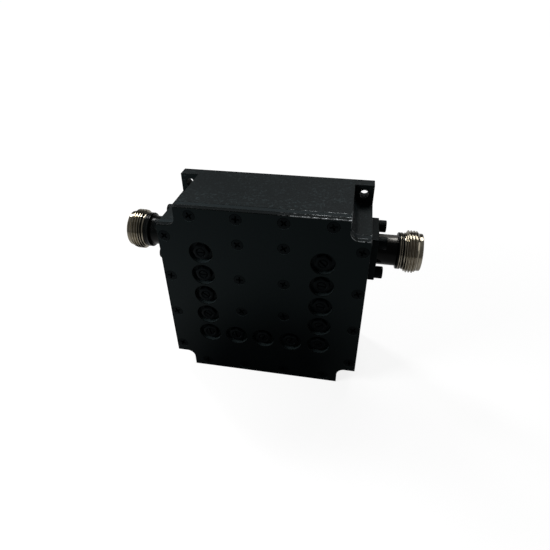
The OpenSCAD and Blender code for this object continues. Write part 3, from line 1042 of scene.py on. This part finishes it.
@dataclass
class Jack:
    """A flanged female coaxial jack. Its stations are distances from the filter's middle along X."""

    side: Side
    fasteners: Fasteners
    thread: Tree
    axis_y: float = 1.75
    axis_z: float = 56.0
    base: float = 38.0
    flange: float = 41.0
    flange_width: float = 17.5
    flange_corner: float = 0.6
    flange_edge: float = 0.25
    flange_pitch: float = 12.7
    flange_hole: float = 1.45
    seat_radius: float = 4.65
    seat_depth: float = 1.55
    neck_radius: float = 5.75
    neck_end: float = 48.3
    collar_radius: float = 6.9
    # Station of each point of the collar's two grooves, and how deep it lies
    collar_steps: tuple[tuple[float, float], ...] = (
        (49.05, 0.0), (49.15, 0.08), (49.35, 0.08), (49.45, 0.0), (49.75, 0.0),
        (49.85, 0.06), (50.0, 0.06), (50.1, 0.3), (50.5, 0.3), (50.6, 0.0),
    )
    # From where to where each jack's outside is bare nickel; the right-hand collar's two thin rings are
    # painted highlights on the lit side
    left_bare: tuple[tuple[float, float], ...] = ((50.5, 58.0),)
    right_bare_and_highlight: tuple[tuple[float, float], ...] = ((49.05, 49.35), (49.75, 50.05), (50.5, 58.0))
    thread_start: float = 51.2
    thread_end: float = 55.8
    thread_radius: float = 7.9375
    thread_pitch: float = 25.4 / 24
    thread_depth: float = 0.573
    thread_steps: int = 16
    thread_facets: int = 160
    core_radius: float = 6.55
    lip_radius: float = 7.0
    tip: float = 57.2
    mouth_radius: float = 4.2
    mouth_floor: float = 48.1
    insulator_radius: float = 3.5
    insulator_collar: float = 4.6
    insulator_bore: float = 1.1
    insulator_start: float = 32.3
    contact_radius: float = 1.52
    contact_tip: float = 52.4
    contact_bore: float = 0.85
    contact_stem: float = 1.05
    solder_cup: float = 0.55
    tail_end: float = 31.0
    screw_head: float = 4.6
    head_height: float = 2.9
    screw_shank: float = 2.5
    screw_length: float = 7.0
    screw_turn: float = 25.0

    @property
    def label(self) -> str:
        """Name of the jack's side."""
        return self.side.name.lower()

    def outwards(self) -> Matrix:
        """Gives the turn and shift that lay a shape along the jack's axis, +Z outwards."""
        turn = Matrix.Rotation(math.radians(90), 4, "Y")
        if self.side is Side.LEFT:
            turn = Matrix.Rotation(math.pi, 4, "Z") @ turn
        return Matrix.Translation((0, self.axis_y, self.axis_z)) @ turn

    def drill(self, radius: float, sides: int) -> Piece:
        """Makes a round cutter that passes through the flange."""
        low, high = self.base - 8 * CLEAR, self.flange + 4 * CLEAR
        return turned([(0, low), (radius, low), (radius, high), (0, high)], sides)

    def flange_plate(self) -> Piece:
        """Makes the square flange with its four holes and the hole for the insulator's collar."""
        faces = (self.base, self.flange)
        plate = skin([rounded_square(self.flange_width, self.flange_corner, rise) for rise in faces])
        half = self.flange_pitch / 2
        for x in (-half, half):
            for y in (-half, half):
                carve(plate, move(self.drill(self.flange_hole, 32), Matrix.Translation((x, y, 0))))
        carve(plate, self.drill(self.seat_radius, 64))
        return soften(plate, self.flange_edge)

    def shell(self) -> Piece:
        """Makes the turned shell: neck, collar, core under the thread, lip, mouth and bore."""
        neck, collar, core, lip = self.neck_radius, self.collar_radius, self.core_radius, self.lip_radius
        start, end, tip, rear = self.thread_start, self.thread_end, self.tip, self.neck_end
        outer = [(neck + 0.25, self.flange - 0.02), (neck, self.flange + 0.25), (neck, rear - 0.2)]
        outer += [(neck + 0.15, rear), (collar - 0.2, rear), (collar, rear + 0.2)]
        outer += [(collar - sunk, station) for station, sunk in self.collar_steps]
        outer += [(collar, start - 0.12), (collar - 0.12, start), (core, start), (core, end)]
        outer += [(lip - 0.1, end), (lip, end + 0.1), (lip, tip - 0.3)]
        outer += [(lip - 0.09, tip - 0.09), (lip - 0.3, tip)]
        mouth, floor, seat = self.mouth_radius, self.mouth_floor, self.seat_radius
        bore, foot, step = self.insulator_radius + 0.05, self.base + 0.02, self.base + self.seat_depth
        inner = [(mouth + 0.35, tip), (mouth + 0.1, tip - 0.1), (mouth, tip - 0.35), (mouth, floor + 0.15)]
        inner += [(mouth - 0.15, floor), (bore, floor), (bore, step)]
        inner += [(seat, step), (seat, foot), (neck, foot)]
        return turned([*outer, *inner], 96, closed=True)

    def body(self, palette: Palette) -> None:
        """Makes the jack's body: the painted flange, neck and collar, and the nickel end.

        The right-hand collar has two bare rings as well, painted highlights on the lit side.
        """
        shell = self.shell()
        # The right-hand jack's thin collar rings are painted highlights, bare only where the light falls
        bare_and_highlight_rings = self.left_bare if self.side is Side.LEFT else self.right_bare_and_highlight
        for face in shell.data.polygons:
            bare_and_highlight = any(low < face.center.z < high for low, high in bare_and_highlight_rings)
            if bare_and_highlight or face.center.xy.length < self.neck_radius - 0.6:
                face.material_index = 1
            elif face.center.z < self.neck_end - NEAR:
                face.material_index = 3
        smooth(shell)
        plate = self.flange_plate()
        for face in plate.data.polygons:
            face.material_index = 2
        piece = move(join([shell, plate]), self.outwards())
        materials = [palette.collar_paint, palette.nickel, palette.flange_paint, palette.neck_paint]
        deliver(piece, self.label + "_jack_body", materials, "jack_nickel", self.label + "_jack_shell")

    def coupling_thread(self, palette: Palette) -> None:
        """Makes the jack's coupling thread with Geometry Nodes."""
        turns = math.ceil((self.thread_end - self.thread_start) / self.thread_pitch) + 1
        # One row more than there are steps, with a row at the core before them and two after
        rows = self.thread_steps * turns + 4
        inputs = {
            "Side": float(self.side.value),
            "Start": self.thread_start,
            "End": self.thread_end,
            "Pitch": self.thread_pitch,
            "Crest Radius": self.thread_radius,
            "Depth": self.thread_depth,
            "Core Radius": self.core_radius - 0.15,
            "Axis Y": self.axis_y,
            "Axis Z": self.axis_z,
            "Rows": rows,
            "Steps": self.thread_steps,
            "Segments": self.thread_facets,
            "Finish": palette.nickel,
        }
        piece = grow(self.thread, [Vector()], inputs)
        deliver(piece, self.label + "_jack_thread", [palette.nickel], "jack_nickel")

    def insulator(self, palette: Palette) -> None:
        """Makes the white insulator, with a bevel and a step at its face in the mouth."""
        radius, collar, bore = self.insulator_radius, self.insulator_collar, self.insulator_bore
        start, base, floor, rim = self.insulator_start, self.base, self.mouth_floor, self.contact_radius + 0.5
        seat = base + self.seat_depth - 0.05
        profile = [(bore, start), (radius - 0.2, start), (radius, start + 0.2), (radius, base)]
        profile += [(collar, base), (collar, seat), (radius, seat), (radius, floor - 0.25)]
        profile += [(radius - 0.25, floor), (rim, floor), (rim - 0.15, floor - 0.02), (bore, floor - 0.02)]
        piece = move(turned(profile, 64, closed=True), self.outwards())
        name, node = self.label + "_jack_insulator", self.label + "_insulator"
        deliver(piece, name, [palette.insulator_white], "white_insulator", node)

    def contact(self, palette: Palette) -> None:
        """Makes the centre contact, with its bore, its crossed slots and a solder cup."""
        radius, stem, bore, cup = self.contact_radius, self.contact_stem, self.contact_bore, self.solder_cup
        tip, tail, floor, depth = self.contact_tip, self.tail_end, self.mouth_floor, 4.2
        profile = [(0, tail + 1.6), (cup, tail + 1.6), (cup, tail), (stem - 0.05, tail), (stem, tail + 0.08)]
        profile += [(stem, floor), (radius - 0.1, floor), (radius, floor + 0.1), (radius, tip - 0.45)]
        profile += [(radius - 0.06, tip - 0.18), (radius - 0.25, tip), (bore + 0.2, tip), (bore, tip - 0.2)]
        profile += [(bore, tip - depth + 0.2), (0, tip - depth)]
        piece = turned(profile, 48)
        for turn in (0, 90):
            slot = move(tapered_bar(8.0, 0.3, depth, 0.0), Matrix.Rotation(math.pi, 4, "X"))
            spin = Matrix.Rotation(math.radians(turn), 4, "Z")
            carve(piece, move(slot, Matrix.Translation((0, 0, tip + CLEAR)) @ spin))
        move(piece, self.outwards())
        name, node = self.label + "_jack_contact", self.label + "_centre_contact"
        deliver(piece, name, [palette.contact_gold], "contact_gold", node)

    def flange_screws(self, palette: Palette) -> None:
        """Makes the four cap screws that hold the flange."""
        half, sign, kit = self.flange_pitch / 2, self.side.value, self.fasteners
        x = sign * (self.flange + self.head_height)
        spots = [(y, z) for y in (-half, half) for z in (-half, half)]
        places = [Vector((x, self.axis_y + y, self.axis_z + z)) for y, z in spots]
        screw = kit.cap_screw(self.screw_head, self.head_height, self.screw_shank, self.screw_length)
        inwards = Matrix.Rotation(math.radians(-90 * sign), 4, "Y")
        turn = (self.screw_turn, Vector((1, 0, 0)))
        labels = (self.label + "_flange_screw_set", "black_screw", self.label + "_flange_screws")
        kit.set_out(screw, inwards, places, turn, palette.screw_black, labels)

    def build(self, palette: Palette) -> None:
        """Makes the whole jack."""
        self.body(palette)
        self.coupling_thread(palette)
        self.insulator(palette)
        self.contact(palette)
        self.flange_screws(palette)


@dataclass
class Resonators:
    """The posts, their screws and the tap wires in the closed cavities, which keep their CAD shapes."""

    posts: int = 7

    def dress(self, palette: Palette) -> None:
        """Gives the hidden CAD nodes their finishes."""
        silver = [*(f"resonator_{i + 1}" for i in range(self.posts)), "left_tap_wire", "right_tap_wire"]
        finishes = {**dict.fromkeys(silver, palette.silver), "resonator_screws": palette.zinc}
        for node, material in finishes.items():
            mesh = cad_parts[node].data
            mesh.materials.clear()
            mesh.materials.append(material)
            LOG.info("%s: %s", node, material.name)


@dataclass
class Studio:
    """Pale floor, soft lamps, white background and the photograph's camera."""

    camera_place: tuple[float, float, float] = (29.7549, -145.2314, 145.8443)
    camera_yaw: float = -10.8228
    camera_pitch: float = 35.5312
    camera_roll: float = -0.6634
    camera_lens: float = 28.933
    ambient: float = 0.1
    floor_reach: float = 3000.0
    floor_rise: float = -0.05
    # Grey of the floor by itself and in reflections, and how far reflections are turned to that grey
    floor_tone: float = 0.2
    mirrored_tone: float = 0.3
    mirrored_share: float = 0.68
    # From where to where the floor's glow grows, and how strong it is there
    glow_reach: tuple[float, float] = (120.0, 900.0)
    glow_strength: tuple[float, float] = (0.84, 1.0)
    # Middle of the painted shadow that reflections show in front of the filter's foot, and where it begins
    # and ends
    foot: tuple[float, float, float] = (0.0, -25.0, 0.0)
    foot_painted_shadow: tuple[float, float] = (20.0, 60.0)
    card_distance: float = 900.0
    card_reach: float = 1500.0
    aim: tuple[float, float, float] = (0.0, 0.0, 45.0)

    def camera(self) -> None:
        """Puts the camera where the photograph was taken from."""
        data = bpy.data.cameras.new("camera")
        data.lens, data.sensor_width = self.camera_lens, 36.0
        data.clip_start, data.clip_end = 0.005, 50.0
        yaw, pitch, roll = (math.radians(a) for a in (self.camera_yaw, self.camera_pitch, self.camera_roll))
        level, flat = Vector((math.cos(yaw), -math.sin(yaw), 0)), math.cos(pitch)
        forwards = Vector((math.sin(yaw) * flat, math.cos(yaw) * flat, -math.sin(pitch)))
        upright = level.cross(forwards)
        right = math.cos(roll) * level + math.sin(roll) * upright
        up = -math.sin(roll) * level + math.cos(roll) * upright
        camera = bpy.data.objects.new("camera", data)
        turn = Matrix((right, up, -forwards)).transposed().to_4x4()
        camera.matrix_world = Matrix.Translation(Vector(self.camera_place) / METRE) @ turn
        bpy.context.scene.collection.objects.link(camera)
        bpy.context.scene.camera = camera

    def seen_directly(self, tree: Tree) -> Socket:
        """Gives a socket that is 1 for camera, glossy and transmission rays and 0 for the others."""
        path = add_node(tree, "ShaderNodeLightPath").outputs
        seen = path["Is Camera Ray"]
        for ray in ("Is Glossy Ray", "Is Transmission Ray"):
            seen = add_node(tree, "ShaderNodeMath", {"operation": "MAXIMUM"}, [seen, path[ray]]).outputs[0]
        return seen

    def world(self) -> None:
        """Makes a world that looks white and lights the object softly."""
        world = bpy.data.worlds.new("studio")
        world.use_nodes = True
        tree = world.node_tree
        ends = {"Value": self.seen_directly(tree), "To Min": self.ambient, "To Max": 1.0}
        strength = add_node(tree, "ShaderNodeMapRange", links=ends).outputs[0]
        tree.links.new(strength, tree.nodes["Background"].inputs["Strength"])
        tree.nodes["Background"].inputs["Color"].default_value = (1.0, 1.0, 1.0, 1.0)
        bpy.context.scene.world = world

    def sheet(
        self, name: str, finish: str, points: list[Vector], faces: list[tuple[int, ...]]
    ) -> tuple[Piece, Tree, Socket]:
        """Makes a sheet with an empty material.

        Args:
            name: Name of the sheet.
            finish: Name of its material.
            points: Its corners in millimetres.
            faces: Its faces, as the numbers of their corners.

        Returns:
            The sheet, the tree of its material and the socket that takes its surface.
        """
        mesh = bpy.data.meshes.new(name)
        mesh.from_pydata([point / METRE for point in points], [], faces)
        material = bpy.data.materials.new(finish)
        material.use_nodes = True
        tree = material.node_tree
        tree.nodes.remove(tree.nodes["Principled BSDF"])
        mesh.materials.append(material)
        return placed_in_scene(mesh, name), tree, tree.nodes["Material Output"].inputs["Surface"]

    def floor(self) -> None:
        """Lays the pale floor, which glows for the camera, so that it is white with a faint shadow.

        It glows more far off. Reflections show it dimmer, with a painted shadow in front of the filter's foot
        like the shadow under its cover.
        """
        reach = self.floor_reach
        corners = ((-reach, -reach), (reach, -reach), (reach, reach), (-reach, reach))
        points = [Vector((x, y, self.floor_rise)) for x, y in corners]
        floor, tree, surface = self.sheet("floor", "pale_floor", points, [(0, 1, 2, 3)])
        faint, pale = (
            add_node(tree, "ShaderNodeBsdfDiffuse", links=[(tone, tone, tone, 1.0)]).outputs[0]
            for tone in (self.floor_tone, self.mirrored_tone)
        )
        place = add_node(tree, "ShaderNodeTexCoord").outputs["Object"]
        distance = add_node(tree, "ShaderNodeVectorMath", {"operation": "LENGTH"}, [place]).outputs["Value"]
        near, far = (radius / METRE for radius in self.glow_reach)
        weak, strong = self.glow_strength
        ramp = {"Value": distance, "From Min": near, "From Max": far, "To Min": weak, "To Max": strong}
        strength = add_node(tree, "ShaderNodeMapRange", links=ramp).outputs[0]
        glow = add_node(tree, "ShaderNodeEmission", links=[(1.0, 1.0, 1.0, 1.0), strength]).outputs[0]
        white = add_node(tree, "ShaderNodeAddShader", links=[faint, glow]).outputs[0]
        dim = add_node(tree, "ShaderNodeMixShader", links=[self.mirrored_share, white, pale]).outputs[0]
        # Painted shadow: towards the filter's foot, reflections see the floor fade to black
        foot = [place, Vector(self.foot) / METRE]
        away = add_node(tree, "ShaderNodeVectorMath", {"operation": "DISTANCE"}, foot).outputs["Value"]
        begin, end = (radius / METRE for radius in self.foot_painted_shadow)
        edge = {"Value": away, "From Min": begin, "From Max": end}
        clear = add_node(tree, "ShaderNodeMapRange", links=edge).outputs[0]
        dim = add_node(tree, "ShaderNodeMixShader", links=[clear, None, dim]).outputs[0]
        mirrored = add_node(tree, "ShaderNodeLightPath").outputs["Is Glossy Ray"]
        shown = add_node(tree, "ShaderNodeMixShader", links=[mirrored, white, dim]).outputs[0]
        direct = self.seen_directly(tree)
        mixed = add_node(tree, "ShaderNodeMixShader", links=[direct, faint, shown]).outputs[0]
        tree.links.new(mixed, surface)

    def card(self, name: str, low: float, high: float, tone: float) -> None:
        """Hangs a card glowing at a dark tone for metal to mirror: a painted reflection of dim surroundings.
        Only reflections see it, so it takes no light away.

        Args:
            name: Name of the card.
            low: Angle in degrees of its lower edge over the horizon in front of the filter.
            high: Angle of its upper edge, which passes 90 at the zenith.
            tone: How bright it looks, where 1 is white.
        """
        strips, far = 12, self.card_distance
        angles = [math.radians(low + (high - low) * i / strips) for i in range(strips + 1)]
        rows = [Vector((0, -far * math.cos(angle), self.aim[2] + far * math.sin(angle))) for angle in angles]
        points = [row + Vector((x, 0, 0)) for row in rows for x in (-self.card_reach, self.card_reach)]
        faces = [(i, i + 1, i + 3, i + 2) for i in range(0, 2 * strips, 2)]
        card, tree, surface = self.sheet(name, name, points, faces)
        dark = add_node(tree, "ShaderNodeEmission", links=[(tone, tone, tone, 1.0), 1.0]).outputs[0]
        tree.links.new(dark, surface)
        card.visible_camera = card.visible_diffuse = card.visible_shadow = card.visible_transmission = False

    def lamp(
        self, name: str, place: Vector, size: tuple[float, float], radiance: float, mirrored: bool
    ) -> None:
        """Hangs a soft rectangular lamp that faces the filter.

        Args:
            name: Name of the lamp.
            place: Its middle.
            size: Its width and height.
            radiance: How bright its face is, where 1 is white.
            mirrored: Whether reflections show it.
        """
        data = bpy.data.lights.new(name, "AREA")
        data.shape, data.size, data.size_y = "RECTANGLE", size[0] / METRE, size[1] / METRE
        data.energy = radiance * math.pi * data.size * data.size_y
        lamp = bpy.data.objects.new(name, data)
        turn = (Vector(self.aim) - place).to_track_quat("-Z", "Y").to_matrix().to_4x4()
        lamp.matrix_world = Matrix.Translation(place / METRE) @ turn
        lamp.visible_glossy = mirrored
        lamp.visible_camera = False
        bpy.context.scene.collection.objects.link(lamp)

    def build(self) -> None:
        """Sets up the camera, the surroundings, two lamps above and behind, and a fill in front."""
        self.camera()
        self.world()
        self.floor()
        # Painted reflections: cards glowing at set tones that only metal and gloss mirror
        self.card("dark_card_in_front", -2, 68, 0.155)
        self.card("grey_card_above", 68, 104, 0.22)
        self.card("dark_card_behind", 104, 178, 0.1)
        self.lamp("key", Vector((88, 365, 608)), (340, 280), 7.0, mirrored=True)
        self.lamp("left_key", Vector((-350, 290, 590)), (120, 260), 20.0, mirrored=True)
        self.lamp("fill", Vector((-105, -85, 125)), (70, 70), 16.0, mirrored=False)
        bpy.context.scene.view_settings.view_transform = "Standard"


def main() -> None:
    """Builds the filter's pieces in order and reports each one."""
    logging.basicConfig(level=logging.INFO, format="%(message)s")
    Studio().build()
    palette = Palette()
    Enclosure().build(palette)
    fasteners = Fasteners(fastener_tree())
    FrontHardware(fasteners).build(palette)
    thread = thread_tree()
    for side in Side:
        Jack(side, fasteners, thread).build(palette)
    Resonators().dress(palette)


if __name__ == "__main__":
    main()
